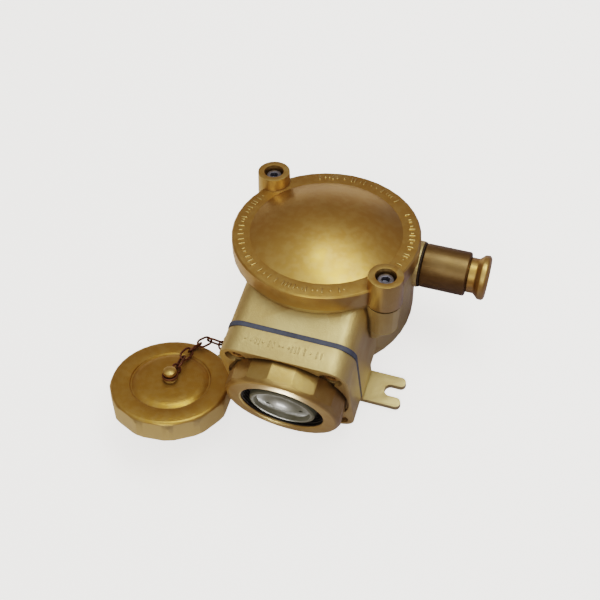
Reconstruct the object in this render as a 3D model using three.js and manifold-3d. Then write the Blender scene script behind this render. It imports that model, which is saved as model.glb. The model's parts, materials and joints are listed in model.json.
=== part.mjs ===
// Marine watertight socket outlet in cast brass: a round terminal chamber under a domed, screwed
// lid, a square socket neck with a bolted flange, a sixteen-sided coupling ring round a
// moulded insulator, a cable gland, slotted mounting feet and a screw cap on a chain.
// Millimetres, +Z up. The mounting plane is z = 0, the socket faces -Y, the gland faces +X.
import * as THREE from "three";
import { mergeVertices } from "three/addons/utils/BufferGeometryUtils.js";
import Module from "manifold-3d";

const wasm = await Module();
wasm.setup();

// ---- Driving dimensions -------------------------------------------------------------------
const GAP = 0.3; // clearance between neighbouring pieces
const ROUND = 40; // facets of the large rounds
const SMALL = 12; // facets of screws and small bores
const MEDIUM = 24; // facets of the gland, the ears and the counterbores
const COARSE = 16; // facets of tubes, bosses and screw heads
const FINE = 32; // facets of the rounds of the socket and the cap

const SOCKET_Z = 44; // height of the socket axis above the mounting plane
const LID_Z = 85.4; // height of the lid's rim face on the chamber axis
const LID_TILT = THREE.MathUtils.degToRad(17); // the lid slopes down towards the back
const LID_R = 60;
const LID_RIM = 11; // thickness of the lid's edge
const M6_SHANK = 2.9; // radius of the M6 screws, modelled without thread
const M6_HEAD = 5;
const M6_HEAD_HIGH = 6;
const DOME_R = 48.5;
const DOME_RISE = 11.5;
const EAR_AT = 61; // distance of the lid screws from the chamber axis
const EAR_ANGLES = [-37.5, 142.5]; // degrees, from +X, in the lid's plane
const EAR_R = 11.3;
const EAR_TOP = 8.5; // the ears stand above the rim face
const EAR_FLOOR = -0.5; // floor of each ear's counterbore
const SEAL_DEPTH = 13; // the chamber's top face lies this far below the lid's rim face

const BASE_R = 54.5; // chamber, at the mounting plane
const TOP_R = 58; // chamber, at its top face
const WALL = 4.5;
const FLOOR = 5;

const NECK_HALF = 40.8; // half of the square neck
const NECK_CORNER = 12;
const NECK_FRONT = 73.7; // distance of the neck's front face from the chamber axis
const NECK_BORE = 34;
const FLANGE_HALF = 41.2;
const FLANGE_CORNER = 14;
const FLANGE_BACK = 77.2;
const FLANGE_FRONT = 93.5;
const FLANGE_BOLT = 30; // half of the square bolt pattern
const POCKET_FLOOR = 85.2; // deep enough for the screw heads to lie below the turning ring
const RING_RECESS = 91.5; // floor of the round recess that the coupling ring turns in
const SPIGOT_R = 24.2;
const SPIGOT_BORE = 22.2;
const SPIGOT_END = 101;

const RETAINER_BOLT = 30.5;
const retainerAngles = [30, 150, 270];
const SHOULDER_BACK = 73; // back of the insulator's shoulder
const PLATE = 2.8; // thickness of the ring that holds it
const INSULATOR_R = 21.8;
const INSULATOR_FRONT = 107.6;
const CONTACT_AT = 12.5; // distance of the contact tubes from the socket axis
const contacts = [["line", 210], ["neutral", 330], ["earth", 90]];

const RING_R = 38; // coupling ring, across its corners
const RING_SIDES = 16;
const RING_TURN = THREE.MathUtils.degToRad(7.5); // direction of one of its corners
const RING_BACK = 91.9;
const RING_FRONT = 108;
const RING_BORE = 27;
const RING_LIP = 24.7;

const TAPPED_HOLE = 3.2; // radius of the holes of the M6 screws
const LID_BOSS_R = 9; // bosses that take the lid screws
const LID_BOSS_DEPTH = 33; // end of their straight part, below the lid's rim face
const LID_BOSS_FOOT = 17; // below that they run out into the wall over this depth
const LID_BOSS_TOE = 3; // radius of the lower end of that part
const LID_BOSS_LEAN = 8; // and how far it leans inwards
const LID_SCREW_HOLE = 31.5; // bottom of their tapped holes
const LID_SCREW_TIP = -29.5;
const GLAND_BOSS_R = 15.2;
const GLAND_BOSS_BORE = 9.6;
const STAND_OFF_X = 18; // the terminal block's two stand-offs
const STAND_OFF_TOP = 12;
const BLOCK_Y = 8;
const EARTH_AT = [-30, -16]; // earth terminal on the chamber's floor
const EARTH_TOP = 14;

const GLAND_Y = 9.1;
const GLAND_Z = 53;
const GLAND_R = 14.4;
const GLAND_SEAT = 59.4; // face of the gland boss, from the chamber axis
const GLAND_END = 90.3;

const FOOT_Y = -62.7; // centre line of the two front feet
const FOOT_REACH = 65.5;
const FOOT_WIDTH = 21.5;
const FOOT_THICK = 5;
const SLOT_WIDTH = 8;
const SLOT_ROOT = 52.8; // closed end of the slot, from the symmetry plane
const REAR_FOOT_SHIFT = 12; // the rear foot reaches further out than the front feet
const SOLE_TOP = SOCKET_Z - NECK_HALF + NECK_CORNER; // upright wall between the two front feet

const CAP_R = 40.2; // cap, across its corners
const CAP_SIDES = 12;
const CAP_AT = [-80.5, -103.7, 30.8]; // centre of the cap's top face, as it lies on its chain
const CAP_TILT = THREE.MathUtils.degToRad(-24);
const CAP_TURN = THREE.MathUtils.degToRad(-8); // direction of one of its corners
const CAP_HEAD = 15.2;
const CAP_DEPTH = 20.8; // head and threaded spigot together
const CAP_THREAD = 26.3;
const CAP_HOLLOW = 22.4;
const KNOB_NECK = 3.1; // radius of the knob under its head
const CHAIN_HEIGHT = 4.5; // the chain's centre line above the cap, at the knob

const WIRE = 1.7; // chain wire
const LINKS = 7;
const BEND = 2.9; // radius of a link's round end, to the wire's centre
const SLACK = 1.3; // play between two links
const EYE_AT = new THREE.Vector3(-46.6, -69.8, 12.8); // centre of the housing's chain eye

// ---- Materials ----------------------------------------------------------------------------
function finish(color, roughness, metalness) {
  return () => new THREE.MeshStandardMaterial({ color, roughness, metalness });
}
const castBrass = finish(0xb9a468, 0.45, 0.9);
const lidBrass = finish(0xa97b32, 0.38, 0.95);
const capBrass = finish(0x8f6a2a, 0.4, 0.95);
const turnedBrass = finish(0xb08a45, 0.3, 0.95);
const darkBrass = finish(0x6b5028, 0.42, 0.9);
const steel = finish(0x777a88, 0.35, 0.95);
const sealRubber = finish(0x6c7484, 0.7, 0);
const blackRubber = finish(0x1d1d1f, 0.8, 0);
const moulding = finish(0x85837a, 0.3, 0);
const contactMetal = finish(0xc6c4bd, 0.25, 0.95);
const terminalPlastic = finish(0xd9d4c4, 0.5, 0);
const chainMetal = finish(0x4a2415, 0.55, 0.7);

function insulation(color) {
  return finish(color, 0.5, 0);
}

// ---- Shape helpers ------------------------------------------------------------------------
// A geometry as a solid, with its faces turned outwards.
function solid(geometry) {
  const bare = geometry.index ? geometry.toNonIndexed() : geometry.clone();
  bare.deleteAttribute("normal");
  bare.deleteAttribute("uv");
  const merged = mergeVertices(bare, 1e-3);
  const triVerts = new Uint32Array(merged.index.array);
  const vertProperties = new Float32Array(merged.attributes.position.array);
  const made = new wasm.Manifold(new wasm.Mesh({ numProp: 3, vertProperties, triVerts }));
  if (made.volume() > 0) return made;
  for (let i = 0; i < triVerts.length; i += 3) {
    [triVerts[i + 1], triVerts[i + 2]] = [triVerts[i + 2], triVerts[i + 1]];
  }
  return new wasm.Manifold(new wasm.Mesh({ numProp: 3, vertProperties, triVerts }));
}

function union(first, ...others) {
  return others.reduce((sum, item) => sum.add(solid(item)), solid(first));
}

function cut(from, ...tools) {
  return tools.reduce((rest, tool) => rest.subtract(solid(tool)), from);
}

function toGeometry(made) {
  const mesh = made.getMesh();
  const positions = new Float32Array(mesh.numVert * 3);
  for (let i = 0; i < mesh.numVert; i++) {
    const start = i * mesh.numProp;
    positions.set(mesh.vertProperties.subarray(start, start + 3), i * 3);
  }
  const geometry = new THREE.BufferGeometry();
  geometry.setAttribute("position", new THREE.BufferAttribute(positions, 3));
  geometry.setIndex(new THREE.BufferAttribute(new Uint32Array(mesh.triVerts), 1));
  geometry.computeVertexNormals();
  return geometry;
}

// A cylinder or cone along +Z, from z = low to z = high.
function rod(radius, low, high, facets = SMALL, topRadius = radius) {
  const geometry = new THREE.CylinderGeometry(topRadius, radius, high - low, facets);
  return geometry.rotateX(Math.PI / 2).translate(0, 0, (low + high) / 2);
}

// A profile of [radius, z] points turned round the Z axis. It closes on itself or on the axis.
function turned(profile, facets = ROUND) {
  const points = profile.map(([r, z]) => new THREE.Vector2(r, z));
  return new THREE.LatheGeometry(points, facets).rotateX(Math.PI / 2);
}

// A flat ring along Z.
function ring(inner, outer, low, high, facets = ROUND) {
  const corners = [[inner, low], [outer, low], [outer, high], [inner, high], [inner, low]];
  return turned(corners, facets);
}

function block(width, depth, height, x, y, z) {
  return new THREE.BoxGeometry(width, depth, height).translate(x, y, z);
}

// A square with rounded corners, pushed along Z.
function roundedPrism(half, corner, low, high) {
  const flat = half - corner;
  const shape = new THREE.Shape();
  shape.moveTo(half, -flat);
  shape.absarc(flat, flat, corner, 0, Math.PI / 2);
  shape.absarc(-flat, flat, corner, Math.PI / 2, Math.PI);
  shape.absarc(-flat, -flat, corner, Math.PI, 1.5 * Math.PI);
  shape.absarc(flat, -flat, corner, 1.5 * Math.PI, 2 * Math.PI);
  const options = { depth: high - low, bevelEnabled: false, curveSegments: 5 };
  return new THREE.ExtrudeGeometry(shape, options).translate(0, 0, low);
}

// A round wire along a closed or open curve.
function wireAlong(curve, radius, steps, facets) {
  const outline = new THREE.Shape();
  outline.absarc(0, 0, radius, 0, 2 * Math.PI);
  const options = { steps, extrudePath: curve, curveSegments: facets, bevelEnabled: false };
  return new THREE.ExtrudeGeometry(outline, options);
}

function frameAt(position, rotation) {
  const turn = new THREE.Quaternion().setFromEuler(new THREE.Euler(...rotation));
  return new THREE.Matrix4().compose(new THREE.Vector3(...position), turn, new THREE.Vector3(1, 1, 1));
}

function placed(geometry, frame) {
  return geometry.applyMatrix4(frame);
}

function polar(radius, degrees) {
  const angle = THREE.MathUtils.degToRad(degrees);
  return [radius * Math.cos(angle), radius * Math.sin(angle)];
}

// The four corners of a square, numbered from 1.
function forCorners(half, use) {
  [[1, 1], [-1, 1], [-1, -1], [1, -1]].forEach(([sx, sy], i) => use(sx * half, sy * half, i + 1));
}

// Frames of the sub-assemblies. Local +Z is the lid's normal, the socket's and the gland's
// outward direction, and the cap's top side.
const lidFrame = frameAt([0, 0, LID_Z], [-LID_TILT, 0, 0]);
const socketFrame = frameAt([0, 0, SOCKET_Z], [Math.PI / 2, 0, 0]);
const glandFrame = frameAt([0, GLAND_Y, GLAND_Z], [0, Math.PI / 2, 0]);
const capFrame = frameAt(CAP_AT, [CAP_TILT, 0, 0]);

const group = new THREE.Group();
function subassembly(frame) {
  const sub = new THREE.Group();
  sub.applyMatrix4(frame);
  group.add(sub);
  return sub;
}
const lidGroup = subassembly(lidFrame);
const socketGroup = subassembly(socketFrame);
const glandGroup = subassembly(glandFrame);
const capGroup = subassembly(capFrame);

function addPart(name, made, material, parent = group) {
  const geometry = made.isBufferGeometry ? toGeometry(solid(made)) : toGeometry(made);
  const mesh = new THREE.Mesh(geometry, material());
  mesh.name = name;
  parent.add(mesh);
}

// ---- Fasteners ----------------------------------------------------------------------------
// A hexagon-socket cap screw along -Z, with the underside of its head at z = seat.
function capScrew(thread, head, headHeight, seat, tip) {
  const body = union(rod(head, seat, seat + headHeight), rod(thread, tip, seat + 1));
  const key = rod(head * 0.55, seat + headHeight * 0.45, seat + headHeight + 1, 6);
  return cut(body, key);
}

// A slotted cheese-head screw along -Z.
function slottedScrew(thread, head, headHeight, seat, tip) {
  const body = union(rod(head, seat, seat + headHeight, COARSE), rod(thread, tip, seat + 0.5));
  const slot = block(head * 2.4, head * 0.34, headHeight, 0, 0, seat + headHeight * 1.05);
  return cut(body, slot);
}

// ---- Housing ------------------------------------------------------------------------------
// A round wall that leans from a circle on the mounting plane to a circle parallel to the lid.
function chamberLoft(bottomRadius, bottomZ, topRadius, topDepth) {
  const geometry = new THREE.CylinderGeometry(1, 1, 1, ROUND, 1).rotateX(Math.PI / 2);
  const position = geometry.attributes.position;
  const low = new THREE.Vector3();
  const high = new THREE.Vector3();
  for (let i = 0; i < position.count; i++) {
    const x = position.getX(i);
    const y = position.getY(i);
    const share = position.getZ(i) + 0.5;
    low.set(bottomRadius * x, bottomRadius * y, bottomZ);
    high.set(topRadius * x, topRadius * y, -topDepth).applyMatrix4(lidFrame);
    low.lerp(high, share);
    position.setXYZ(i, low.x, low.y, low.z);
  }
  return geometry;
}

// A mounting foot that reaches along +X, with an open slot.
function foot(reach, start, slotRoot) {
  const half = FOOT_WIDTH / 2;
  const slot = SLOT_WIDTH / 2;
  const tip = (half - slot) / 2;
  const shape = new THREE.Shape();
  shape.moveTo(start, -half);
  shape.lineTo(reach - tip, -half);
  shape.absarc(reach - tip, -half + tip, tip, -Math.PI / 2, Math.PI / 2);
  shape.lineTo(slotRoot + slot, -slot);
  shape.absarc(slotRoot + slot, 0, slot, -Math.PI / 2, -1.5 * Math.PI, true);
  shape.lineTo(reach - tip, slot);
  shape.absarc(reach - tip, half - tip, tip, -Math.PI / 2, Math.PI / 2);
  shape.lineTo(start, half);
  const options = { depth: FOOT_THICK, bevelEnabled: false, curveSegments: 6 };
  return new THREE.ExtrudeGeometry(shape, options);
}

// The lower end of a lid boss: a cone that leans inwards and runs out in the chamber's wall.
function bossRunOut(x, y) {
  const cone = rod(LID_BOSS_TOE, -LID_BOSS_FOOT, 0.5, MEDIUM, LID_BOSS_R + 0.2);
  const lean = LID_BOSS_LEAN / LID_BOSS_FOOT / EAR_AT;
  const shear = new THREE.Matrix4().makeShear(0, 0, 0, 0, x * lean, y * lean);
  return placed(cone, shear).translate(x, y, -LID_BOSS_DEPTH);
}

function makeHousing() {
  const footStart = 38; // inside the chamber's wall
  const neck = placed(roundedPrism(NECK_HALF, NECK_CORNER, 20, NECK_FRONT), socketFrame);
  const rightFoot = foot(FOOT_REACH, footStart, SLOT_ROOT);
  const leftFoot = rightFoot.clone().rotateZ(Math.PI);
  const rearFoot = rightFoot.clone().translate(REAR_FOOT_SHIFT, 0, 0).rotateZ(Math.PI / 2);
  const glandBoss = placed(rod(GLAND_BOSS_R, footStart, GLAND_SEAT, MEDIUM), glandFrame);
  const lidBosses = EAR_ANGLES.flatMap((angle) => {
    const [x, y] = polar(EAR_AT, angle);
    const boss = rod(LID_BOSS_R + 0.2, -LID_BOSS_DEPTH, -SEAL_DEPTH, MEDIUM, LID_BOSS_R + 1.5);
    return [placed(boss.translate(x, y, 0), lidFrame), placed(bossRunOut(x, y), lidFrame)];
  });
  const sole = block(2 * NECK_HALF, FOOT_WIDTH, SOLE_TOP, 0, FOOT_Y, SOLE_TOP / 2);
  let body = union(
    chamberLoft(BASE_R, 0, TOP_R, SEAL_DEPTH),
    neck,
    sole,
    rightFoot.translate(0, FOOT_Y, 0),
    leftFoot.translate(0, FOOT_Y, 0),
    rearFoot,
    glandBoss,
    ...lidBosses,
  );

  const cavity = chamberLoft(BASE_R - WALL, FLOOR, TOP_R - WALL, SEAL_DEPTH - 2);
  const socketBore = placed(rod(NECK_BORE, 24, NECK_FRONT + 1, FINE), socketFrame);
  const glandBore = placed(rod(GLAND_BOSS_BORE, 36, GLAND_SEAT + 1, MEDIUM), glandFrame);
  body = cut(body, cavity, socketBore, glandBore);

  const inside = [-1, 1].map((side) =>
    rod(4.5, FLOOR - 1, STAND_OFF_TOP, COARSE).translate(side * STAND_OFF_X, BLOCK_Y, 0),
  );
  inside.push(rod(5.5, FLOOR - 1, EARTH_TOP, COARSE).translate(...EARTH_AT, 0));
  EAR_ANGLES.forEach((angle) => {
    const [x, y] = polar(EAR_AT, angle);
    const boss = rod(LID_BOSS_R, -LID_BOSS_DEPTH, -SEAL_DEPTH, MEDIUM).translate(x, y, 0);
    inside.push(placed(boss, lidFrame));
  });
  body = inside.reduce((sum, item) => sum.add(solid(item)), body);

  const aboveSeal = placed(block(300, 300, 60, 0, 0, 30 - SEAL_DEPTH), lidFrame);
  const holes = [-1, 1].map((side) =>
    rod(1.7, 3, STAND_OFF_TOP + 1).translate(side * STAND_OFF_X, BLOCK_Y, 0),
  );
  holes.push(rod(2.2, 3, EARTH_TOP + 1).translate(...EARTH_AT, 0));
  EAR_ANGLES.forEach((angle) => {
    const [x, y] = polar(EAR_AT, angle);
    const hole = rod(TAPPED_HOLE, -LID_SCREW_HOLE, 1 - SEAL_DEPTH).translate(x, y, 0);
    holes.push(placed(hole, lidFrame));
  });
  forCorners(FLANGE_BOLT, (x, y) => {
    const hole = rod(TAPPED_HOLE, 60, NECK_FRONT + 1).translate(x, y, 0);
    holes.push(placed(hole, socketFrame));
  });
  const eyeHole = rod(1.8, -NECK_HALF - 1, -NECK_HALF + 5).rotateY(Math.PI / 2);
  return cut(body, aboveSeal, ...holes, eyeHole.translate(0, EYE_AT.y, EYE_AT.z));
}

addPart("box_body", makeHousing(), castBrass);

const lidGasket = ring(54, 57.4, -SEAL_DEPTH + 0.2, -LID_RIM - 0.2);
addPart("lid_gasket", lidGasket, sealRubber, lidGroup);

// ---- Lid ----------------------------------------------------------------------------------
function arcProfile(radius, rise, base, steps, fromAxis) {
  const sphere = (radius * radius + rise * rise) / (2 * rise);
  const points = [];
  for (let i = 0; i <= steps; i++) {
    const share = fromAxis ? i / steps : 1 - i / steps;
    const r = radius * share;
    points.push([r, base + rise - sphere + Math.sqrt(sphere * sphere - r * r)]);
  }
  return points;
}

function makeLid() {
  const skirt = 52.5; // inner radius of the lid's edge
  const under = -5; // underside of the rim inside the skirt
  const outside = arcProfile(DOME_R, DOME_RISE, 0, 4, true);
  const inside = arcProfile(45, 9.5, under, 2, false);
  const rim = [[LID_R - 1, 0], [LID_R, -1], [LID_R, -LID_RIM], [skirt, -LID_RIM], [skirt, under]];
  let lid = solid(turned([...outside, ...rim, ...inside]));
  EAR_ANGLES.forEach((angle) => {
    const [x, y] = polar(EAR_AT, angle);
    const ear = rod(EAR_R, -LID_RIM, EAR_TOP, MEDIUM, EAR_R - 0.7).translate(x, y, 0);
    const inner = turned([...inside, [0, -12], [skirt, -12], [skirt, under], inside[0]]);
    lid = lid.add(cut(solid(ear), inner));
  });
  EAR_ANGLES.forEach((angle) => {
    const [x, y] = polar(EAR_AT, angle);
    const counterbore = rod(6.5, EAR_FLOOR, EAR_TOP + 1, MEDIUM).translate(x, y, 0);
    const hole = rod(3.5, -LID_RIM - 1, EAR_TOP).translate(x, y, 0);
    lid = cut(lid, counterbore, hole);
  });
  return lid;
}

addPart("lid", makeLid(), lidBrass, lidGroup);
EAR_ANGLES.forEach((angle, i) => {
  const [x, y] = polar(EAR_AT, angle);
  const screw = capScrew(M6_SHANK, M6_HEAD, M6_HEAD_HIGH, EAR_FLOOR + GAP, LID_SCREW_TIP);
  addPart(`lid_screw_${i + 1}`, toGeometry(screw).translate(x, y, 0), steel, lidGroup);
});

// ---- Socket -------------------------------------------------------------------------------
function makeNeckGasket() {
  let gasket = solid(roundedPrism(NECK_HALF + 0.3, NECK_CORNER, NECK_FRONT + 0.2, FLANGE_BACK - 0.2));
  gasket = cut(gasket, rod(NECK_BORE + 0.2, NECK_FRONT - 1, FLANGE_BACK + 1, FINE));
  forCorners(FLANGE_BOLT, (x, y) => {
    gasket = cut(gasket, rod(3.5, NECK_FRONT - 1, FLANGE_BACK + 1).translate(x, y, 0));
  });
  return gasket;
}

function makeFlange() {
  const plate = roundedPrism(FLANGE_HALF, FLANGE_CORNER, FLANGE_BACK, FLANGE_FRONT);
  let flange = cut(solid(plate), rod(RING_R + 1.6, RING_RECESS, FLANGE_FRONT + 1, FINE));
  flange = flange.add(solid(rod(SPIGOT_R, FLANGE_BACK + 1, SPIGOT_END, FINE)));
  flange = cut(flange, rod(SPIGOT_BORE, FLANGE_BACK - 1, SPIGOT_END + 1, FINE));
  const groove = ring(SPIGOT_R - 0.9, SPIGOT_R + 3, 97, 99, FINE);
  flange = cut(flange, groove);
  forCorners(FLANGE_BOLT, (x, y) => {
    const pocket = rod(7.2, POCKET_FLOOR, FLANGE_FRONT + 1, MEDIUM).translate(x, y, 0);
    const hole = rod(3.4, FLANGE_BACK - 1, 90).translate(x, y, 0);
    flange = cut(flange, pocket, hole);
  });
  retainerAngles.forEach((angle) => {
    const [x, y] = polar(RETAINER_BOLT, angle);
    flange = cut(flange, rod(1.7, FLANGE_BACK - 1, 86).translate(x, y, 0));
  });
  return flange;
}

// The ring that holds the insulator's shoulder against the back of the flange.
function makeRetainingRing() {
  const front = SHOULDER_BACK - 0.2;
  let plate = solid(ring(23, 33.4, front - PLATE, front, FINE));
  retainerAngles.forEach((angle) => {
    const [x, y] = polar(RETAINER_BOLT, angle);
    plate = cut(plate, rod(1.8, front - PLATE - 1, front + 1).translate(x, y, 0));
  });
  return plate;
}

function makeInsulator() {
  const front = INSULATOR_FRONT;
  const back = 68;
  const body = turned([
    [0, back], [INSULATOR_R, back], [INSULATOR_R, SHOULDER_BACK], [28.5, SHOULDER_BACK],
    [28.5, FLANGE_BACK - GAP], [INSULATOR_R, FLANGE_BACK - GAP], [INSULATOR_R, front - 2],
    [21.2, front - 0.6], [20, front], [18.6, front - 0.3], [17.2, front - 2.6],
    [15, front - 3.6], [11.5, front - 3.4], [9.5, front - 2.4], [6.5, front - 1.5],
    [3, front - 1.1], [0, front - 1],
  ], FINE);
  let made = solid(body);
  contacts.forEach(([, angle]) => {
    const [x, y] = polar(CONTACT_AT, angle);
    const bore = rod(2.9, 67, front - 6).translate(x, y, 0);
    const mouth = rod(1.4, 66, front + 1).translate(x, y, 0);
    made = cut(made, bore, mouth);
  });
  return made;
}

function makeCouplingRing() {
  const prism = rod(RING_R, RING_BACK, RING_FRONT, RING_SIDES).rotateZ(RING_TURN);
  const outside = turned([
    [0, RING_BACK], [RING_R - 0.8, RING_BACK], [RING_R + 0.2, RING_BACK + 1.2],
    [RING_R + 0.2, RING_FRONT - 3.4], [RING_R - 1.8, RING_FRONT - 0.6], [RING_R - 3, RING_FRONT],
    [0, RING_FRONT],
  ], FINE);
  const made = solid(prism).intersect(solid(outside));
  const bore = turned([
    [0, RING_BACK - 1], [RING_LIP, RING_BACK - 1], [RING_LIP, 96.4], [RING_BORE, 96.4],
    [RING_BORE, RING_FRONT - 0.8], [RING_BORE + 1.6, RING_FRONT + 0.8], [0, RING_FRONT + 0.8],
  ], FINE);
  return cut(made, bore);
}

function makeSnapRing() {
  const open = block(8, 5, 5, SPIGOT_R, 0, 98);
  return cut(solid(ring(SPIGOT_R - 0.6, 26.4, 97.2, 98.8, FINE)), open);
}

addPart("neck_gasket", makeNeckGasket(), sealRubber, socketGroup);
addPart("socket_flange", makeFlange(), castBrass, socketGroup);
forCorners(FLANGE_BOLT, (x, y, i) => {
  const screw = capScrew(M6_SHANK, M6_HEAD, M6_HEAD_HIGH, POCKET_FLOOR + GAP, 62);
  addPart(`flange_screw_${i}`, toGeometry(screw).translate(x, y, 0), turnedBrass, socketGroup);
});
addPart("insulator", makeInsulator(), moulding, socketGroup);
addPart("insulator_retaining_ring", makeRetainingRing(), turnedBrass, socketGroup);
retainerAngles.forEach((angle, i) => {
  const [x, y] = polar(RETAINER_BOLT, angle);
  const seat = 0.4 + PLATE - SHOULDER_BACK;
  const screw = toGeometry(slottedScrew(1.4, 2.5, 2, seat, seat - 13)).rotateX(Math.PI);
  addPart(`retaining_screw_${i + 1}`, screw.translate(x, y, 0), steel, socketGroup);
});
contacts.forEach(([name, angle]) => {
  const [x, y] = polar(CONTACT_AT, angle);
  const tube = ring(1.6, 2.6, 60, 101.2, SMALL).translate(x, y, 0);
  addPart(`contact_tube_${name}`, tube, contactMetal, socketGroup);
});
addPart("coupling_ring", makeCouplingRing(), turnedBrass, socketGroup);
addPart("coupling_snap_ring", makeSnapRing(), steel, socketGroup);

// ---- Terminals inside the chamber -----------------------------------------------------------
const BLOCK_Z = STAND_OFF_TOP + GAP;
const BLOCK_H = 14;
const WAY_Z = BLOCK_Z + 6; // axis of the three terminal ways
const wayX = [-11, 0, 11];
const wayNames = ["line", "earth", "neutral"];
function makeTerminalBlock() {
  let made = solid(block(46, 18, BLOCK_H, 0, BLOCK_Y, BLOCK_Z + BLOCK_H / 2));
  wayX.forEach((x) => {
    const bore = rod(3.2, -12, 12).rotateX(Math.PI / 2);
    const screwWay = rod(2.4, WAY_Z, BLOCK_Z + BLOCK_H + 1);
    made = cut(made, bore.translate(x, BLOCK_Y, WAY_Z), screwWay.translate(x, BLOCK_Y, 0));
  });
  [-STAND_OFF_X, STAND_OFF_X].forEach((x) => {
    made = cut(made, rod(2, BLOCK_Z - 1, BLOCK_Z + BLOCK_H + 1).translate(x, BLOCK_Y, 0));
  });
  return made;
}
addPart("terminal_block", makeTerminalBlock(), terminalPlastic);
wayX.forEach((x, i) => {
  const sleeve = solid(ring(1.7, 2.9, -8, 8, SMALL).rotateX(Math.PI / 2));
  const tapped = cut(sleeve, rod(1.5, 0.5, 4));
  const at = [x, BLOCK_Y, WAY_Z];
  addPart(`terminal_sleeve_${i + 1}`, toGeometry(tapped).translate(...at), turnedBrass);
  const screw = slottedScrew(1.3, 2.1, 2, BLOCK_Z + 10, BLOCK_Z + 8.2);
  addPart(`terminal_screw_${i + 1}`, toGeometry(screw).translate(x, BLOCK_Y, 0), steel);
});
[-STAND_OFF_X, STAND_OFF_X].forEach((x, i) => {
  const screw = slottedScrew(1.4, 3, 2, BLOCK_Z + BLOCK_H + 0.2, 6);
  addPart(`block_screw_${i + 1}`, toGeometry(screw).translate(x, BLOCK_Y, 0), steel);
});
const earthScrew = slottedScrew(1.9, 4, 3, EARTH_TOP + GAP, 5);
addPart("earth_screw", toGeometry(earthScrew).translate(...EARTH_AT, 0), turnedBrass);

// One insulated wire from each contact tube to its terminal.
const wireColours = { line: 0x6b3a1e, earth: 0x4f7a35, neutral: 0x2f4f86 };
wayX.forEach((x, i) => {
  const name = wayNames[i];
  const angle = contacts.find(([contact]) => contact === name)[1];
  const [cx, cy] = polar(CONTACT_AT, angle);
  const start = new THREE.Vector3(cx, -59.4, SOCKET_Z + cy); // just behind the contact tube
  const end = new THREE.Vector3(x, BLOCK_Y - 9.4, WAY_Z);
  const curve = new THREE.CubicBezierCurve3(
    start,
    start.clone().add(new THREE.Vector3(0, 24, 0)),
    end.clone().add(new THREE.Vector3(0, -22, 0)),
    end,
  );
  addPart(`wire_${name}`, wireAlong(curve, 1.5, 8, 2), insulation(wireColours[name]));
});

// ---- Cable gland ----------------------------------------------------------------------------
const GLAND_FACE = GLAND_SEAT + 1.4; // the sealing washer lies between the boss and the gland
const GLAND_BORE = 7;
const CHAMBER_R = 11.4; // bore that holds the seal
const SEAL_R = CHAMBER_R - GAP;
const SEAL_BORE = 5.6;
const CHAMBER_BACK = 67;
const NUT_BACK = 78.6;
const NUT_BORE = 6.4;
const NUT_NECK = 11.4;
const NUT_FLARE = 95.5; // where the neck opens out
const NUT_COLLAR = 98.8; // and where it reaches the collar's full radius
const NUT_END = 103;
function makeGlandBody() {
  return turned([
    [GLAND_BORE, 50], [9.3, 50], [9.3, GLAND_FACE], [GLAND_R - 0.5, GLAND_FACE],
    [GLAND_R, GLAND_FACE + 0.6], [GLAND_R, GLAND_END - 0.8], [GLAND_R - 0.8, GLAND_END],
    [CHAMBER_R, GLAND_END], [CHAMBER_R, CHAMBER_BACK], [GLAND_BORE, CHAMBER_BACK],
    [GLAND_BORE, 50],
  ], MEDIUM);
}
function makeGlandNut() {
  return turned([
    [NUT_BORE, NUT_BACK], [10.9, NUT_BACK], [SEAL_R, GLAND_END + 0.4],
    [NUT_NECK, GLAND_END + 0.6], [NUT_NECK, NUT_FLARE], [NUT_NECK + 1.4, NUT_FLARE + 1.6],
    [GLAND_R, NUT_COLLAR], [GLAND_R + 0.2, NUT_END - 1.6], [GLAND_R - 0.5, NUT_END - 0.5],
    [GLAND_R - 1.6, NUT_END], [9.4, NUT_END], [7, NUT_END - 3.4], [NUT_BORE, NUT_END - 6],
    [NUT_BORE, NUT_BACK],
  ], MEDIUM);
}
const glandWasher = ring(
  GLAND_BOSS_BORE, GLAND_R + 0.4, GLAND_SEAT + 0.2, GLAND_FACE - 0.2, MEDIUM,
);
addPart("gland_washer", glandWasher, blackRubber, glandGroup);
addPart("gland_body", makeGlandBody(), darkBrass, glandGroup);
const glandSeal = ring(SEAL_BORE, SEAL_R, CHAMBER_BACK + GAP, 76.5, MEDIUM);
addPart("gland_seal", glandSeal, blackRubber, glandGroup);
const thrustWasher = ring(6.2, SEAL_R, 76.8, NUT_BACK - GAP, MEDIUM);
addPart("gland_thrust_washer", thrustWasher, turnedBrass, glandGroup);
addPart("gland_nut", makeGlandNut(), turnedBrass, glandGroup);

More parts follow.
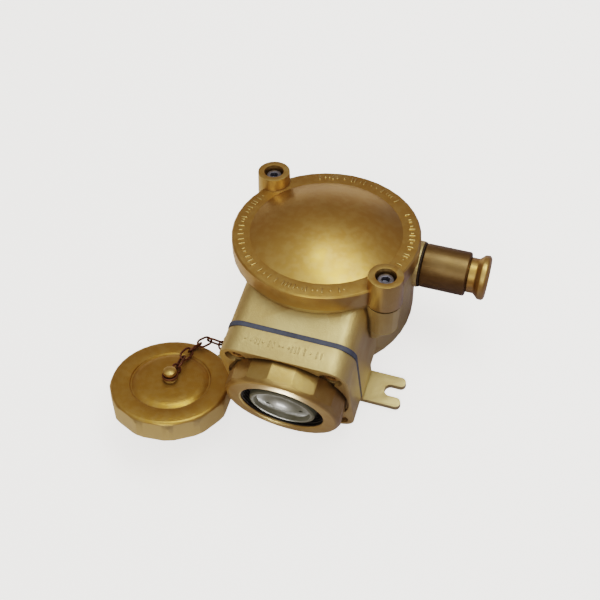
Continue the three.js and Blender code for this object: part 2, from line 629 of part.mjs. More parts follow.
// ---- Cap and chain --------------------------------------------------------------------------
function makeCap() {
  const prism = rod(CAP_R, -CAP_HEAD - 1, 3, CAP_SIDES).rotateZ(CAP_TURN);
  const outside = turned([
    [0, -CAP_HEAD], [CAP_R - 0.8, -CAP_HEAD], [CAP_R + 0.2, -CAP_HEAD + 1.2],
    [CAP_R + 0.2, -4.2], [CAP_R - 0.8, -1.8], [CAP_R - 1.3, -0.9], [CAP_R - 2, -0.3],
    [CAP_R - 3.2, 0], [26.8, 0], [26.2, -0.9], [25.2, -0.9], [23.6, 0.3], [21, 0.8], [16, 1.1],
    [8, 1.3], [0, 1.3],
  ]);
  let made = solid(prism).intersect(solid(outside));
  const spigot = ring(CAP_HOLLOW, CAP_THREAD, -CAP_DEPTH, -CAP_HEAD + 1, FINE);
  made = made.add(solid(spigot));
  const hollow = rod(CAP_HOLLOW, -CAP_DEPTH - 1, -4.5, FINE);
  made = cut(made, hollow);
  const knob = turned([
    [0, 0.6], [5.2, 0.6], [KNOB_NECK, 2.5], [KNOB_NECK, 5.6], [4.3, 6.2], [4.7, 7.4],
    [4.3, 8.6], [3, 9.4], [0, 9.7],
  ], COARSE);
  return made.add(solid(knob));
}
addPart("screw_cap", makeCap(), capBrass, capGroup);
const capGasket = ring(CAP_THREAD + GAP, 30, -CAP_HEAD - 2.2, -CAP_HEAD - 0.2, FINE);
addPart("cap_gasket", capGasket, sealRubber, capGroup);

// The chain's line: from the swivel on the cap's knob, across the cap, over its edge and back
// to the eye on the neck.
const SWIVEL_REACH = 7.6; // centre of the swivel's loop from the knob's axis
const capPoint = (x, y, z) => new THREE.Vector3(x, y, z).applyMatrix4(capFrame);
const chainLine = new THREE.CatmullRomCurve3([
  capPoint(1.5, SWIVEL_REACH + BEND - WIRE / 2, CHAIN_HEIGHT),
  capPoint(0.6, 19, CHAIN_HEIGHT - 0.2),
  capPoint(2, 27, CHAIN_HEIGHT - 0.6),
  capPoint(5, 34, CHAIN_HEIGHT - 1),
  capPoint(7, 40.5, 3.4),
  new THREE.Vector3(-69.6, -61.8, 13.6),
  new THREE.Vector3(-64.4, -61.8, 10.4),
  new THREE.Vector3(-58.6, -65.4, 9.4),
  EYE_AT.clone().add(new THREE.Vector3(-1.6, 1, -0.7)),
], false, "centripetal");

// Where the links meet: points on the line, each one pitch from the last.
function jointPoints(pitch) {
  const samples = chainLine.getPoints(4000);
  const found = [samples[0]];
  samples.forEach((point) => {
    if (point.distanceTo(found[found.length - 1]) >= pitch) found.push(point);
  });
  return found;
}

// The pitch at which the last link ends at the end of the line.
function fittedPitch() {
  let low = 5;
  let high = 20;
  while (high - low > 1e-4) {
    const middle = (low + high) / 2;
    if (jointPoints(middle).length > LINKS) low = middle;
    else high = middle;
  }
  return low;
}
const PITCH = fittedPitch();

// A closed oval of wire in the XY plane, its straight sides along X.
class OvalCurve extends THREE.Curve {
  constructor(straight, radius) {
    super();
    this.straight = straight;
    this.radius = radius;
  }
  getPoint(t, target = new THREE.Vector3()) {
    const arc = Math.PI * this.radius;
    const total = 2 * (this.straight + arc);
    let s = ((t % 1) + 1) % 1 * total;
    const half = this.straight / 2;
    if (s < this.straight) return target.set(s - half, -this.radius, 0);
    s -= this.straight;
    if (s < arc) {
      const a = s / this.radius - Math.PI / 2;
      return target.set(half + this.radius * Math.cos(a), this.radius * Math.sin(a), 0);
    }
    s -= arc;
    if (s < this.straight) return target.set(half - s, this.radius, 0);
    s -= this.straight;
    const a = s / this.radius + Math.PI / 2;
    return target.set(-half + this.radius * Math.cos(a), this.radius * Math.sin(a), 0);
  }
}

// A closed wire loop: rings of points swept along a closed curve that lies in the XY plane.
function closedWire(curve, radius, steps, facets) {
  const torus = new THREE.TorusGeometry(10, radius, facets, steps);
  const position = torus.attributes.position;
  const centre = new THREE.Vector3();
  const tangent = new THREE.Vector3();
  for (let i = 0; i < position.count; i++) {
    const x = position.getX(i);
    const y = position.getY(i);
    const turnShare = (Math.atan2(y, x) / (2 * Math.PI) + 1) % 1;
    const outward = Math.hypot(x, y) - 10;
    curve.getPoint(turnShare, centre);
    curve.getTangent(turnShare, tangent);
    position.setXYZ(i, centre.x + tangent.y * outward, centre.y - tangent.x * outward, position.getZ(i));
  }
  return torus;
}

const LINK_STRAIGHT = PITCH + WIRE + SLACK - 2 * BEND;
function linkFrame(from, to, roll, up) {
  const along = to.clone().sub(from).normalize();
  const side = up.clone().cross(along).normalize();
  const normal = along.clone().cross(side);
  const basis = new THREE.Matrix4().makeBasis(along, side, normal);
  basis.multiply(new THREE.Matrix4().makeRotationX(roll));
  basis.setPosition(from.clone().add(to).multiplyScalar(0.5));
  return basis;
}

const capUp = new THREE.Vector3(0, 0, 1).applyEuler(new THREE.Euler(CAP_TILT, 0, 0));
const worldUp = new THREE.Vector3(0, 0, 1);
const joints = jointPoints(PITCH);
// Each link is turned a quarter from the last, less a little, so that the first lies at 45
// degrees to the cap and the last stands square to the eye.
const QUARTER = Math.PI / 2 - Math.PI / 4 / (LINKS - 1);
for (let i = 0; i < LINKS; i++) {
  const share = THREE.MathUtils.smoothstep(i, 3, 5);
  const up = capUp.clone().lerp(worldUp, share);
  const roll = -Math.PI / 4 + i * QUARTER;
  const frame = linkFrame(joints[i], joints[i + 1], roll, up);
  const link = closedWire(new OvalCurve(LINK_STRAIGHT, BEND), WIRE / 2, 12, 6);
  addPart(`chain_link_${LINKS - i}`, placed(link, frame), chainMetal);
}

// The swivel: a collar round the knob's neck with a loop for the chain.
function makeSwivel() {
  const low = CHAIN_HEIGHT - 0.8;
  const collar = ring(KNOB_NECK + 0.35, 5.4, low, CHAIN_HEIGHT + 0.8, MEDIUM);
  const loop = new THREE.TorusGeometry(BEND, WIRE / 2, 6, 16).rotateY(Math.PI / 4);
  return union(collar, loop.translate(1.2, SWIVEL_REACH, CHAIN_HEIGHT));
}
addPart("cap_swivel", makeSwivel(), chainMetal, capGroup);

// The eye screwed into the neck's left side.
const EYE_TURN = THREE.MathUtils.degToRad(-37);
function makeChainEye() {
  const loop = new THREE.TorusGeometry(BEND, WIRE / 2, 6, 16).rotateX(EYE_TURN);
  const wall = -NECK_HALF - EYE_AT.x;
  const stub = rod(1.4, BEND, wall + 4.5).rotateY(Math.PI / 2);
  const collar = rod(2.4, wall - 1.5, wall - GAP, COARSE).rotateY(Math.PI / 2);
  return toGeometry(union(loop, stub, collar)).translate(EYE_AT.x, EYE_AT.y, EYE_AT.z);
}
addPart("chain_eye", makeChainEye(), darkBrass);

export default group;
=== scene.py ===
"""Looks for the brass watertight socket outlet: materials, detail, light and camera."""

import json
import math
import random

import bmesh
import bpy
from mathutils import Matrix, Vector


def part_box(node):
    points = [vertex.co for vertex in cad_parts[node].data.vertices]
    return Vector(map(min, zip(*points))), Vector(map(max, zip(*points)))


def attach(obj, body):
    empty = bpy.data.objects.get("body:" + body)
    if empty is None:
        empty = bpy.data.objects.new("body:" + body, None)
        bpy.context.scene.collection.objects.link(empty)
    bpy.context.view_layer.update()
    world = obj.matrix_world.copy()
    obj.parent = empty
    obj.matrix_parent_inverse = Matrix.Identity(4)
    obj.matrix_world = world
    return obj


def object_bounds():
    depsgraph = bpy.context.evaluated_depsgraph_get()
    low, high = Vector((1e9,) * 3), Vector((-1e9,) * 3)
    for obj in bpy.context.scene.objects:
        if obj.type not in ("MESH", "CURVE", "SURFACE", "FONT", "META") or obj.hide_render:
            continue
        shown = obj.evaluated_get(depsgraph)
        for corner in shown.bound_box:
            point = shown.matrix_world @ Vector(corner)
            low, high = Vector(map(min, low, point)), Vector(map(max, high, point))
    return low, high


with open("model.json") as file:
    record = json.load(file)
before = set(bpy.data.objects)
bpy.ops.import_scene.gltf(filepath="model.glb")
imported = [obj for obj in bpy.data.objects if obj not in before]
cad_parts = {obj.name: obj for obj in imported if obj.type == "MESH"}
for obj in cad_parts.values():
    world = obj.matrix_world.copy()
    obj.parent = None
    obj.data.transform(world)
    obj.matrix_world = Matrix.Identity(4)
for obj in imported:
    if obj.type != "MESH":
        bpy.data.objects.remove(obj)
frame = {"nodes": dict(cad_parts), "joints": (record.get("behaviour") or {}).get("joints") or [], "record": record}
CAD_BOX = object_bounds()
NODES = frame["nodes"]
JOINTS = {joint["name"]: joint for joint in frame["joints"]}
MM = 0.001

# ---- Frames of the sub-assemblies, from the record's joints ---------------------------------


def local_frame(origin, normal):
    """A frame with +Z along normal and +X as close to the part's +X as it can be."""
    z = Vector(normal).normalized()
    hint = Vector((1, 0, 0)) if abs(z.x) < 0.9 else Vector((0, 0, -1))
    x = (hint - z * hint.dot(z)).normalized()
    y = z.cross(x)
    turn = Matrix((x, y, z)).transposed().to_4x4()
    return Matrix.Translation(Vector(origin)) @ turn


EARS = [Vector(JOINTS[name]["pos_m"]) for name in ("lid_screw_front_turn", "lid_screw_back_turn")]
LID = local_frame((EARS[0] + EARS[1]) / 2, JOINTS["lid_lift"]["axis"])
CAP = local_frame(JOINTS["cap_turn"]["pos_m"], JOINTS["cap_turn"]["axis"])
SOCKET = local_frame(JOINTS["coupling_ring_turn"]["pos_m"], JOINTS["coupling_ring_turn"]["axis"])
GLAND = local_frame(JOINTS["gland_nut_turn"]["pos_m"], JOINTS["gland_nut_turn"]["axis"])

# ---- Node material helpers -------------------------------------------------------------------


class Nodes:
    """Short calls for building one material's node tree."""

    def __init__(self, name):
        self.material = bpy.data.materials.new(name)
        self.material.use_nodes = True
        self.tree = self.material.node_tree
        self.tree.nodes.clear()
        self.output = self.add("ShaderNodeOutputMaterial")
        self.bsdf = self.add("ShaderNodeBsdfPrincipled")
        self.link(self.bsdf.outputs[0], self.output.inputs["Surface"])
        self.place = self.add("ShaderNodeTexCoord").outputs["Object"]

    def add(self, kind, **settings):
        node = self.tree.nodes.new(kind)
        for key, value in settings.items():
            setattr(node, key, value)
        return node

    def link(self, source, target):
        self.tree.links.new(source, target)

    def feed(self, target, value):
        if hasattr(value, "is_output"):
            self.link(value, target)
        else:
            target.default_value = value

    def noise(self, scale, detail=3.0, roughness=0.55, vector=None):
        node = self.add("ShaderNodeTexNoise")
        self.link(vector or self.place, node.inputs["Vector"])
        node.inputs["Scale"].default_value = scale
        node.inputs["Detail"].default_value = detail
        node.inputs["Roughness"].default_value = roughness
        return node.outputs["Fac"]

    def ramp(self, value, low, high, to_low=0.0, to_high=1.0):
        node = self.add("ShaderNodeMapRange", clamp=True, interpolation_type="SMOOTHSTEP")
        self.link(value, node.inputs["Value"])
        node.inputs["From Min"].default_value = low
        node.inputs["From Max"].default_value = high
        node.inputs["To Min"].default_value = to_low
        node.inputs["To Max"].default_value = to_high
        return node.outputs["Result"]

    def math(self, operation, a, b=0.5):
        node = self.add("ShaderNodeMath", operation=operation)
        self.feed(node.inputs[0], a)
        self.feed(node.inputs[1], b)
        return node.outputs[0]

    def mix(self, share, a, b):
        node = self.add("ShaderNodeMix", data_type="RGBA")
        self.feed(node.inputs["Factor"], share)
        for socket, value in ((node.inputs[6], a), (node.inputs[7], b)):
            self.feed(socket, value if hasattr(value, "is_output") else (*value, 1.0))
        return node.outputs[2]

    # Ambient occlusion; the materials use it to paint shade into hollows.
    def cavity(self, distance):
        node = self.add("ShaderNodeAmbientOcclusion", samples=12)
        node.inputs["Distance"].default_value = distance
        return node.outputs["AO"]

    def radial(self, frame_matrix):
        """Coordinates about a sub-assembly's own axis."""
        node = self.add("ShaderNodeMapping", vector_type="POINT")
        inverse = frame_matrix.inverted()
        node.inputs["Location"].default_value = inverse.translation
        node.inputs["Rotation"].default_value = inverse.to_euler()
        self.link(self.place, node.inputs["Vector"])
        return node.outputs["Vector"]

    def cylindrical(self, frame_matrix):
        """Distance from a sub-assembly's axis, and height along it."""
        split = self.add("ShaderNodeSeparateXYZ")
        self.link(self.radial(frame_matrix), split.inputs[0])
        x, y, z = split.outputs
        squares = self.math("ADD", self.math("MULTIPLY", x, x), self.math("MULTIPLY", y, y))
        return self.math("SQRT", squares), z

    def turning(self, frame_matrix, per_metre):
        """Fine rings round an axis, as a lathe leaves."""
        node = self.add("ShaderNodeTexWave", wave_type="RINGS", rings_direction="Z")
        self.link(self.radial(frame_matrix), node.inputs["Vector"])
        node.inputs["Scale"].default_value = per_metre
        node.inputs["Distortion"].default_value = 0.6
        node.inputs["Detail"].default_value = 1.0
        return node.outputs["Fac"]

    def bump(self, height, strength, distance, normal=None):
        node = self.add("ShaderNodeBump")
        node.inputs["Strength"].default_value = strength
        node.inputs["Distance"].default_value = distance
        self.link(height, node.inputs["Height"])
        if normal is not None:
            self.link(normal, node.inputs["Normal"])
        return node.outputs["Normal"]

    def set(self, **values):
        names = {
            "color": "Base Color",
            "metallic": "Metallic",
            "roughness": "Roughness",
            "normal": "Normal",
            "coat": "Coat Weight",
            "coat_roughness": "Coat Roughness",
            "specular": "Specular IOR Level",
        }
        for key, value in values.items():
            self.feed(self.bsdf.inputs[names[key]], value)
        return self.material


# Where the materials change on the part, in metres in the named frames.
RIM_LIFT = (0.0001, 0.0005)  # height of the raised marks above the lid's rim plane
RIM_INNER = (0.0490, 0.0495)  # radii between which the marks stand
RIM_OUTER = (0.0585, 0.0580)
GRIP_TOP = (-0.0006, -0.0026)  # below the cap's top face its grip flats start
BORE_WALL = (0.0280, 0.0274)  # radius inside which the socket's bore is painted dark as shade
BORE_MOUTH = (0.0076, 0.0066)  # heights between which it is painted dark
BORE_FLOOR = (-0.0300, -0.0280)
# Near-black painted shade for the socket's deep bore.
BORE_SHADE = (0.006, 0.005, 0.004)
FLATS = (0.66, 0.55, 0.30)


def brass(
    name, base, dark, pale, rough=0.4, grain=0.25, metallic=0.92, turned=None, cavity=0.006,
    lacquer=0.5, worn=None, shaded_bore=None, flats=None,
):
    """Cast or machined brass: blotches, painted shade in the corners, paler worn edges, grain.

    worn: frame whose raised marks, above its rim plane, are rubbed pale.
    shaded_bore: frame round whose axis the socket's deep bore is painted near-black as shade.
    flats: frame whose grip flats, below its top face, are bright from handling.
    """
    n = Nodes(name)
    blotch = n.ramp(n.noise(55, 4, 0.6), 0.32, 0.68)
    mottle = n.ramp(n.noise(220, 1.5, 0.5), 0.35, 0.7)
    fine = n.noise(1500, 2, 0.6)
    color = n.mix(n.math("MULTIPLY", blotch, 0.55), base, dark)
    color = n.mix(n.math("MULTIPLY", mottle, 0.22), color, pale)
    edge = n.ramp(n.add("ShaderNodeNewGeometry").outputs["Pointiness"], 0.515, 0.56)
    color = n.mix(n.math("MULTIPLY", edge, 0.6), color, pale)
    if worn is not None:
        across, height = n.cylindrical(worn)
        raised = n.math("MULTIPLY", n.ramp(height, *RIM_LIFT), n.ramp(across, *RIM_INNER))
        raised = n.math("MULTIPLY", raised, n.ramp(across, *RIM_OUTER))
        color = n.mix(n.math("MULTIPLY", raised, 0.22), color, pale)
    if flats is not None:
        height = n.cylindrical(flats)[1]
        color = n.mix(n.ramp(height, *GRIP_TOP, 0.0, 0.85), color, FLATS)
    # Painted shade: ambient occlusion darkens corners and hollows towards the dark brass.
    painted_shade = n.ramp(n.cavity(cavity), 0.35, 0.85, 0.65, 0.0)
    color = n.mix(painted_shade, color, tuple(0.35 * c for c in dark))
    # Painted shade: the socket's deep bore is made near-black, without metal or lacquer.
    if shaded_bore is not None:
        across, height = n.cylindrical(shaded_bore)
        bore_shade_mask = n.math("MULTIPLY", n.ramp(across, *BORE_WALL), n.ramp(height, *BORE_MOUTH))
        bore_shade_mask = n.math("MULTIPLY", bore_shade_mask, n.ramp(height, *BORE_FLOOR))
        outside_bore_shade = n.math("SUBTRACT", 1.0, bore_shade_mask)
        color = n.mix(bore_shade_mask, color, BORE_SHADE)
        metallic = n.math("MULTIPLY", outside_bore_shade, metallic)
        lacquer = n.math("MULTIPLY", outside_bore_shade, lacquer)
    roughness = n.math("ADD", n.math("MULTIPLY", blotch, 0.1), rough - 0.05)
    roughness = n.math("ADD", roughness, n.math("MULTIPLY", painted_shade, 0.2))
    normal = n.bump(fine, grain, 0.0004)
    normal = n.bump(n.noise(330, 2), grain * 0.5, 0.0012, normal)
    if turned is not None:
        normal = n.bump(n.turning(turned, 260), 0.12, 0.0002, normal)
    return n.set(
        color=color, metallic=metallic, roughness=roughness, normal=normal, coat=lacquer,
        coat_roughness=0.33,
    )


def steel(name, base, rough):
    """Plated or bare fastener and contact metal, with painted shade in its recesses."""
    n = Nodes(name)
    mottle = n.ramp(n.noise(420, 3), 0.35, 0.7)
    color = n.mix(mottle, base, tuple(0.6 * c for c in base))
    # Painted shade: ambient occlusion darkens recesses almost to black.
    painted_shade = n.ramp(n.cavity(0.002), 0.3, 0.95, 0.8, 0.0)
    color = n.mix(painted_shade, color, (0.01, 0.01, 0.015))
    roughness = n.math("ADD", n.math("MULTIPLY", mottle, 0.15), rough)
    normal = n.bump(n.noise(2200, 2), 0.2, 0.0002)
    return n.set(color=color, metallic=0.9, roughness=roughness, normal=normal)


def soft(name, base, other, rough, grain=0.2, coat=0.0):
    """Rubber, moulded plastic and wire insulation."""
    n = Nodes(name)
    mottle = n.ramp(n.noise(140, 4), 0.3, 0.7)
    color = n.mix(mottle, base, other)
    roughness = n.math("ADD", n.math("MULTIPLY", n.noise(600, 2), 0.12), rough - 0.06)
    normal = n.bump(n.noise(1400, 2), grain, 0.0003)
    return n.set(color=color, roughness=roughness, normal=normal, coat=coat, coat_roughness=0.12)


MATERIALS = {
    "cast_brass": brass(
        "cast_brass_grain", (0.57, 0.44, 0.20), (0.47, 0.32, 0.12), (0.66, 0.55, 0.28), 0.48, 0.3,
        metallic=0.84, cavity=0.003, lacquer=0.4, shaded_bore=SOCKET,
    ),
    "lid_brass": brass(
        "lid_brass_polish", (0.49, 0.29, 0.055), (0.38, 0.19, 0.03), (0.66, 0.50, 0.20), 0.34, 0.05,
        lacquer=1.0, worn=LID,
    ),
    "cap_brass": brass(
        "cap_brass_handled", (0.45, 0.26, 0.045), (0.34, 0.17, 0.025), (0.60, 0.44, 0.18), 0.40,
        0.15, turned=CAP, lacquer=0.4, flats=CAP,
    ),
    "ring_brass": brass(
        "ring_brass_machined", (0.46, 0.325, 0.12), (0.32, 0.185, 0.055), (0.60, 0.48, 0.24), 0.38,
        0.15, turned=SOCKET, lacquer=0.3, shaded_bore=SOCKET,
    ),
    "gland_brass": brass(
        "gland_brass_tarnished", (0.17, 0.105, 0.035), (0.12, 0.07, 0.02), (0.28, 0.19, 0.09), 0.42,
        0.15, turned=GLAND, lacquer=0.2,
    ),
    "turned_brass": brass(
        "turned_brass_bright", (0.54, 0.32, 0.09), (0.44, 0.24, 0.06), (0.68, 0.55, 0.28), 0.36,
        0.12, turned=GLAND, lacquer=0.3,
    ),
    "fastener_steel": steel("fastener_plating", (0.24, 0.25, 0.31), 0.35),
    "contact_plating": steel("contact_nickel", (0.7, 0.69, 0.66), 0.25),
    "gasket_rubber": soft("gasket_rubber_grey", (0.065, 0.08, 0.125), (0.045, 0.055, 0.09), 0.6),
    "black_rubber": soft("seal_rubber_black", (0.03, 0.018, 0.01), (0.045, 0.027, 0.015), 0.6),
    "grey_moulding": soft(
        "moulding_grey", (0.135, 0.14, 0.105), (0.105, 0.11, 0.08), 0.55, 0.05, 0.1
    ),
    "terminal_plastic": soft("terminal_cream", (0.62, 0.58, 0.47), (0.55, 0.51, 0.41), 0.45),
    "insulation_brown": soft("insulation_brown_pvc", (0.13, 0.05, 0.02), (0.10, 0.04, 0.02), 0.4),
    "insulation_green": soft("insulation_green_pvc", (0.06, 0.19, 0.04), (0.05, 0.15, 0.03), 0.4),
    "insulation_blue": soft("insulation_blue_pvc", (0.03, 0.08, 0.27), (0.02, 0.06, 0.2), 0.4),
    "chain_metal": brass(
        "chain_bronze", (0.13, 0.045, 0.022), (0.07, 0.022, 0.013), (0.24, 0.11, 0.05), 0.5, 0.2,
        metallic=0.75, cavity=0.002, lacquer=0.2,
    ),
}
SLOT_OF = {part["node"]: part["material_slot"] for part in frame["record"]["subparts"]}


def paint(obj, slot):
    obj.data.materials.clear()
    obj.data.materials.append(MATERIALS[slot])


# ---- Rounded edges and smooth shading of the CAD nodes ---------------------------------------


def shade_group(degrees):
    """A node group that shades a mesh smooth but for edges sharper than an angle."""
    group = bpy.data.node_groups.new(f"shade_by_angle_{degrees}", "GeometryNodeTree")
    group.interface.new_socket("Geometry", in_out="INPUT", socket_type="NodeSocketGeometry")
    group.interface.new_socket("Geometry", in_out="OUTPUT", socket_type="NodeSocketGeometry")
    start = group.nodes.new("NodeGroupInput")
    end = group.nodes.new("NodeGroupOutput")
    faces = group.nodes.new("GeometryNodeSetShadeSmooth")
    faces.domain = "FACE"
    edges = group.nodes.new("GeometryNodeSetShadeSmooth")
    edges.domain = "EDGE"
    edges.inputs["Shade Smooth"].default_value = False
    angle = group.nodes.new("GeometryNodeInputMeshEdgeAngle")
    sharp = group.nodes.new("FunctionNodeCompare")
    sharp.operation = "GREATER_THAN"
    sharp.inputs[1].default_value = math.radians(degrees)
    link = group.links.new
    link(start.outputs[0], faces.inputs["Geometry"])
    link(faces.outputs[0], edges.inputs["Geometry"])
    link(angle.outputs["Unsigned Angle"], sharp.inputs[0])
    link(sharp.outputs[0], edges.inputs["Selection"])
    link(edges.outputs[0], end.inputs[0])
    return group


SHADE = shade_group(32)
SHADE_CRISP = shade_group(18)  # for the crease of the lid's dome and the ring's many flats
CRISP = ("lid", "coupling_ring")
WELD = 2e-6  # metres; vertices closer than this are one
SCREW_EDGE = 0.35  # mm
SMALL_EDGE = 0.12  # mm, on pieces that are not listed below


def drop_normals(obj):
    """Removes the shading that came with the mesh, for the modifiers to set."""
    for name in ("custom_normal", "sharp_face", "sharp_edge"):
        attribute = obj.data.attributes.get(name)
        if attribute is not None:
            obj.data.attributes.remove(attribute)


def weld_and_smooth(obj, name, kind, group):
    """Welds the mesh and shades it by angle, with another modifier between if kind is given."""
    drop_normals(obj)
    weld = obj.modifiers.new("weld", "WELD")
    weld.merge_threshold = WELD
    between = obj.modifiers.new(name, kind) if kind else None
    shade = obj.modifiers.new("shade", "NODES")
    shade.node_group = group
    return between


def round_edges(obj, width, segments=3, angle=28):
    """Rounds the edges sharper than an angle; width is in mm."""
    group = SHADE_CRISP if obj.name in CRISP else SHADE
    bevel = weld_and_smooth(obj, "edge", "BEVEL" if width else None, group)
    if bevel is not None:
        bevel.limit_method = "ANGLE"
        bevel.angle_limit = math.radians(angle)
        bevel.width = width * MM
        bevel.segments = segments
        bevel.use_clamp_overlap = True


def wire_smooth(obj):
    """Makes the faceted wire of the links, eye and cores round."""
    subdivide = weld_and_smooth(obj, "round", "SUBSURF", SHADE)
    subdivide.levels = subdivide.render_levels = 2


EDGE_MM = {
    "box_body": 1.0, "lid": 0.9, "socket_flange": 0.9, "screw_cap": 0.5, "coupling_ring": 0.6,
    "gland_body": 0.35, "gland_nut": 0.4, "insulator": 0.0, "insulator_retaining_ring": 0.3,
    "neck_gasket": 0.3, "lid_gasket": 0.2, "gland_washer": 0.2, "terminal_block": 0.5,
}
for name, obj in NODES.items():
    paint(obj, SLOT_OF[name])
    if name.startswith(("chain_", "wire_", "cap_swivel")):
        wire_smooth(obj)
    elif name.startswith(("lid_screw", "flange_screw")):
        round_edges(obj, SCREW_EDGE, 2)
    elif name == "coupling_ring":
        round_edges(obj, EDGE_MM[name], 3, 20)
    else:
        width = EDGE_MM.get(name, SMALL_EDGE)
        round_edges(obj, width, 3 if width > 0.3 else 2)

# ---- New pieces ------------------------------------------------------------------------------


def new_piece(name, mesh_maker, slot, body):
    """Adds a piece that the CAD has no node for, riding one of its bodies."""
    mesh = bpy.data.meshes.new(name)
    shape = bmesh.new()
    mesh_maker(shape)
    bmesh.ops.recalc_face_normals(shape, faces=shape.faces)
    shape.to_mesh(mesh)
    shape.free()
    obj = bpy.data.objects.new(name, mesh)
    bpy.context.scene.collection.objects.link(obj)
    mesh.materials.append(MATERIALS[slot])
    for polygon in mesh.polygons:
        polygon.use_smooth = True
    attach(obj, body)


RIM_MIDDLE = 54.2  # radius of the marks on the lid's rim, mm
RIM_GROUPS = ((-22, 34), (50, 114), (158, 234), (240, 302))  # where they start and end, degrees
RIM_MARK_HIGH = 0.6
FLANGE_ROW = 25  # half length of the row of marks on the flange, mm
FLANGE_MARK_HIGH = 0.4
MARK_SUNK = 0.3  # how far a mark's foot goes into the casting
THREAD_STEPS = 40  # sections in one turn of a thread
THREAD_RIDGE = 0.55
THREAD_PITCH = 1.8
RING_THREAD = (27.0, -2.6, 6.4)  # radius, and heights where it starts and ends, mm
CAP_THREAD = (26.3, -19.6, -17.6)
# Corners of a thread's section: along the axis in pitches, and out in ridge heights.
THREAD_SECTION = ((-0.45, -0.25), (-0.12, 1.0), (0.12, 1.0), (0.45, -0.25))


def pad(shape, matrix, width, depth, height, sunk):
    """A cast-in raised bar with sloped sides, its foot sunk in the surface below."""
    rows = []
    for z, shrink in ((-sunk, 0.0), (0.0, 0.0), (height * 0.7, 0.12), (height, 0.32)):
        half_w = width / 2 - shrink * min(width, depth)
        half_d = depth / 2 - shrink * min(width, depth)
        corner = 0.3 * min(half_w, half_d)
        ring = []
        for sx, sy, turn in ((1, 1, 0), (-1, 1, 1), (-1, -1, 2), (1, -1, 3)):
            for step in range(3):
                a = math.radians(90 * turn + 45 * step)
                x = sx * (half_w - corner) + corner * math.cos(a)
                y = sy * (half_d - corner) + corner * math.sin(a)
                ring.append(shape.verts.new(matrix @ Vector((x * MM, y * MM, z * MM))))
        rows.append(ring)
    count = len(rows[0])
    for low, high in zip(rows, rows[1:]):
        for i in range(count):
            shape.faces.new((low[i], low[(i + 1) % count], high[(i + 1) % count], high[i]))
    shape.faces.new(rows[0][::-1])
    shape.faces.new(rows[-1])


def mark_size(rng, sizes):
    """Width and depth of the next mark, in mm."""
    return sizes[rng.choice(("long", "long", "short", "dot"))]


def lid_marks(shape):
    """Plain raised ticks and dots round the rim, in four groups. They spell nothing."""
    rng = random.Random(4)
    sizes = {"long": (1.0, 4.2), "short": (1.0, 2.4), "dot": (1.3, 1.3)}
    for start, end in RIM_GROUPS:
        angle = start
        while angle < end:
            width, depth = mark_size(rng, sizes)
            a = math.radians(angle)
            spot = Vector((RIM_MIDDLE * math.cos(a), RIM_MIDDLE * math.sin(a), 0)) * MM
            turn = Matrix.Translation(spot) @ Matrix.Rotation(a - math.pi / 2, 4, "Z")
            pad(shape, LID @ turn, width, depth, RIM_MARK_HIGH, MARK_SUNK)
            angle += rng.choice((2.4, 3.0, 4.2, 5.4))


def flange_marks(shape):
    """Plain raised ticks and dots on the flange's top edge."""
    rng = random.Random(9)
    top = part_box("socket_flange")[1].z
    middle = (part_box("neck_gasket")[0].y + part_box("coupling_ring")[1].y) / 2
    sizes = {"long": (0.9, 4.4), "short": (0.9, 2.4), "dot": (1.2, 1.2)}
    x = -FLANGE_ROW
    while x < FLANGE_ROW:
        width, depth = mark_size(rng, sizes)
        spot = Matrix.Translation(Vector((x * MM, middle, top)))
        pad(shape, spot, width, depth, FLANGE_MARK_HIGH, MARK_SUNK)
        x += rng.choice((2.0, 2.8, 3.8))


def helix(shape, matrix, radius, low, high, inward):
    """A thread ridge wound round +Z, fading out at both ends."""
    sign = -1 if inward else 1
    last = (high - low) / THREAD_PITCH * THREAD_STEPS
    rows = []
    for i in range(int(last) + 1):
        a = 2 * math.pi * i / THREAD_STEPS
        fade = min(1.0, i / THREAD_STEPS * 2, (last - i) / THREAD_STEPS * 2 + 0.02)
        row = []
        for along, out in THREAD_SECTION:
            r = radius + sign * THREAD_RIDGE * (out if out < 0 else out * fade)
            z = low + THREAD_PITCH * (i / THREAD_STEPS + along)
            point = Vector((r * math.cos(a) * MM, r * math.sin(a) * MM, z * MM))
            row.append(shape.verts.new(matrix @ point))
        rows.append(row)
    for a, b in zip(rows, rows[1:]):
        for k in range(4):
            shape.faces.new((a[k], a[(k + 1) % 4], b[(k + 1) % 4], b[k]))
    shape.faces.new(rows[0])
    shape.faces.new(rows[-1][::-1])


def ring_thread(shape):
    """The coupling ring's thread, inside its bore."""
    helix(shape, SOCKET, *RING_THREAD, inward=True)


def cap_thread(shape):
    """The cap's thread, round its spigot."""
    helix(shape, CAP, *CAP_THREAD, inward=False)


new_piece("lid_rim_marks", lid_marks, "lid_brass", "lid")
new_piece("flange_top_marks", flange_marks, "cast_brass", "housing")
new_piece("ring_thread", ring_thread, "ring_brass", "coupling_ring")
new_piece("cap_thread", cap_thread, "cap_brass", "cap")

# ---- Stage, light and camera -----------------------------------------------------------------

FLOOR_HALF = 4.0  # metres
FLOOR_GAP = 0.0002  # between the part's lowest point and the floor
WHITE = (1.0, 1.0, 1.0)
PAPER_GLOW = (1.0, 0.995, 0.98, 1.0)


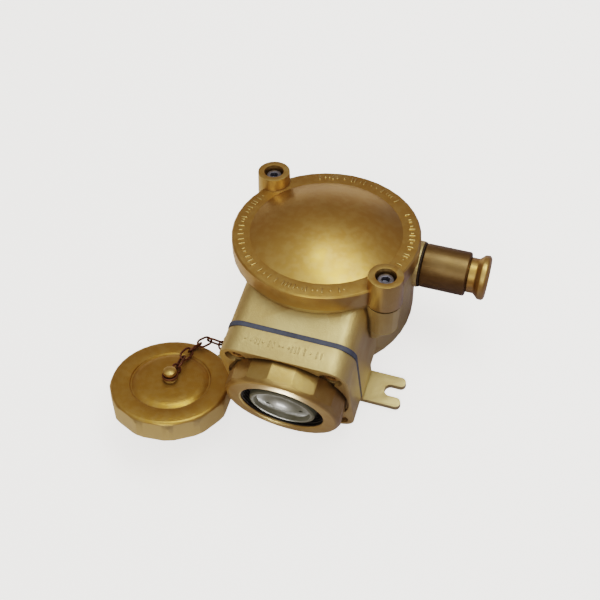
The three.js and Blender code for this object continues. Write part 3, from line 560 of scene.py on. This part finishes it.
def make_floor():
    """Pale paper. Seen in the metal it is a painted reflection, warm in front and dim to the right."""
    n = Nodes("floor_paper")
    ray = n.add("ShaderNodeLightPath")
    geometry = n.add("ShaderNodeNewGeometry")
    split = n.add("ShaderNodeSeparateXYZ")
    n.link(geometry.outputs["Position"], split.inputs[0])
    # Painted reflection: glossy rays see the floor warm in front and dim to the right, as shade.
    right = n.ramp(split.outputs["X"], 0.01, 0.06)
    front = n.mix(right, (0.78, 0.66, 0.56), (0.27, 0.25, 0.36))
    fibre = n.mix(n.noise(900, 2), (0.86, 0.86, 0.85), (0.9, 0.9, 0.89))
    color = n.mix(ray.outputs["Is Glossy Ray"], fibre, front)
    n.set(color=color, roughness=0.9, specular=0.1, normal=n.bump(n.noise(900, 2), 0.05, 0.0005))
    n.bsdf.inputs["Emission Color"].default_value = PAPER_GLOW
    glow = n.math("MULTIPLY", ray.outputs["Is Camera Ray"], 1.3)
    n.feed(n.bsdf.inputs["Emission Strength"], glow)
    mesh = bpy.data.meshes.new("floor")
    signs = ((-1, -1), (1, -1), (1, 1), (-1, 1))
    corners = [(x * FLOOR_HALF, y * FLOOR_HALF, 0) for x, y in signs]
    mesh.from_pydata(corners, [], [(0, 1, 2, 3)])
    mesh.materials.append(n.material)
    floor = bpy.data.objects.new("floor", mesh)
    bpy.context.scene.collection.objects.link(floor)
    floor.location.z = min(CAD_BOX[0].z, 0.0) - FLOOR_GAP


def make_world():
    """A soft studio: pale overhead, falling to a dim warm wall, behind a pale backdrop."""
    world = bpy.data.worlds.new("studio")
    world.use_nodes = True
    tree = world.node_tree
    tree.nodes.clear()
    place = tree.nodes.new("ShaderNodeTexCoord")
    split = tree.nodes.new("ShaderNodeSeparateXYZ")
    ramp = tree.nodes.new("ShaderNodeValToRGB")
    background = tree.nodes.new("ShaderNodeBackground")
    backdrop = tree.nodes.new("ShaderNodeBackground")
    backdrop.inputs["Color"].default_value = PAPER_GLOW
    backdrop.inputs["Strength"].default_value = 2.2
    ray = tree.nodes.new("ShaderNodeLightPath")
    choose = tree.nodes.new("ShaderNodeMixShader")
    output = tree.nodes.new("ShaderNodeOutputWorld")
    stops = ((0.0, (0.16, 0.11, 0.08)), (0.3, (0.22, 0.15, 0.10)), (0.55, (0.34, 0.27, 0.20)),
             (0.85, (0.62, 0.58, 0.52)), (1.0, (0.85, 0.82, 0.76)))
    ramp.color_ramp.elements.remove(ramp.color_ramp.elements[1])
    ramp.color_ramp.elements[0].position = stops[0][0]
    ramp.color_ramp.elements[0].color = (*stops[0][1], 1)
    for position, color in stops[1:]:
        ramp.color_ramp.elements.new(position).color = (*color, 1)
    tree.links.new(place.outputs["Generated"], split.inputs[0])
    tree.links.new(split.outputs["Z"], ramp.inputs["Fac"])
    tree.links.new(ramp.outputs["Color"], background.inputs["Color"])
    tree.links.new(ray.outputs["Is Camera Ray"], choose.inputs[0])
    tree.links.new(background.outputs[0], choose.inputs[1])
    tree.links.new(backdrop.outputs[0], choose.inputs[2])
    tree.links.new(choose.outputs[0], output.inputs["Surface"])
    bpy.context.scene.world = world


def area_light(name, location, target, size, power, color, spread=180):
    data = bpy.data.lights.new(name, "AREA")
    data.shape = "RECTANGLE"
    data.size, data.size_y = size
    data.energy = power
    data.color = color
    data.spread = math.radians(spread)
    light = bpy.data.objects.new(name, data)
    bpy.context.scene.collection.objects.link(light)
    light.location = location
    light.rotation_euler = (Vector(target) - Vector(location)).to_track_quat("-Z", "Y").to_euler()
    light.visible_camera = False


def make_camera(azimuth, elevation, roll, location, lens):
    """A camera looking along the given angles, in degrees; its lens is in mm."""
    a, e, r = (math.radians(v) for v in (azimuth, elevation, roll))
    back = Vector((math.sin(a) * math.cos(e), -math.cos(a) * math.cos(e), math.sin(e)))
    right = Vector((math.cos(a), math.sin(a), 0))
    up = back.cross(right)
    turned_right = right * math.cos(r) + up * math.sin(r)
    turned_up = up * math.cos(r) - right * math.sin(r)
    data = bpy.data.cameras.new("camera")
    data.lens = lens
    data.sensor_width = 36
    data.clip_start = 0.01
    data.clip_end = 20
    camera = bpy.data.objects.new("camera", data)
    bpy.context.scene.collection.objects.link(camera)
    turn = Matrix((turned_right, turned_up, back)).transposed().to_4x4()
    camera.matrix_world = Matrix.Translation(Vector(location)) @ turn
    bpy.context.scene.camera = camera


make_floor()
make_world()
# The key stands behind and above, for the band of light low on the dome. The front light fills
# the faces turned to the viewer, and the glint is a small bright spot on the insulator's face.
area_light("key", (0.20, 0.38, 1.07), (0, 0, 0.05), (0.95, 0.38), 4.4, (1.0, 0.99, 0.96))
area_light("front", (0.1, -0.9, 1.0), (0, 0, 0.04), (0.7, 0.5), 2.6, (1.0, 0.96, 0.92))
area_light(
    "socket_glint", (-0.012, -0.128, 0.002), (-0.002, -0.106, 0.044), (0.012, 0.012), 0.0019,
    WHITE, 60,
)
make_camera(
    azimuth=29.26, elevation=60.97, roll=-13.02, location=(0.1288, -0.2833, 0.5637), lens=54
)
bpy.context.scene.view_settings.view_transform = "Filmic"
bpy.context.scene.view_settings.look = "Medium High Contrast"
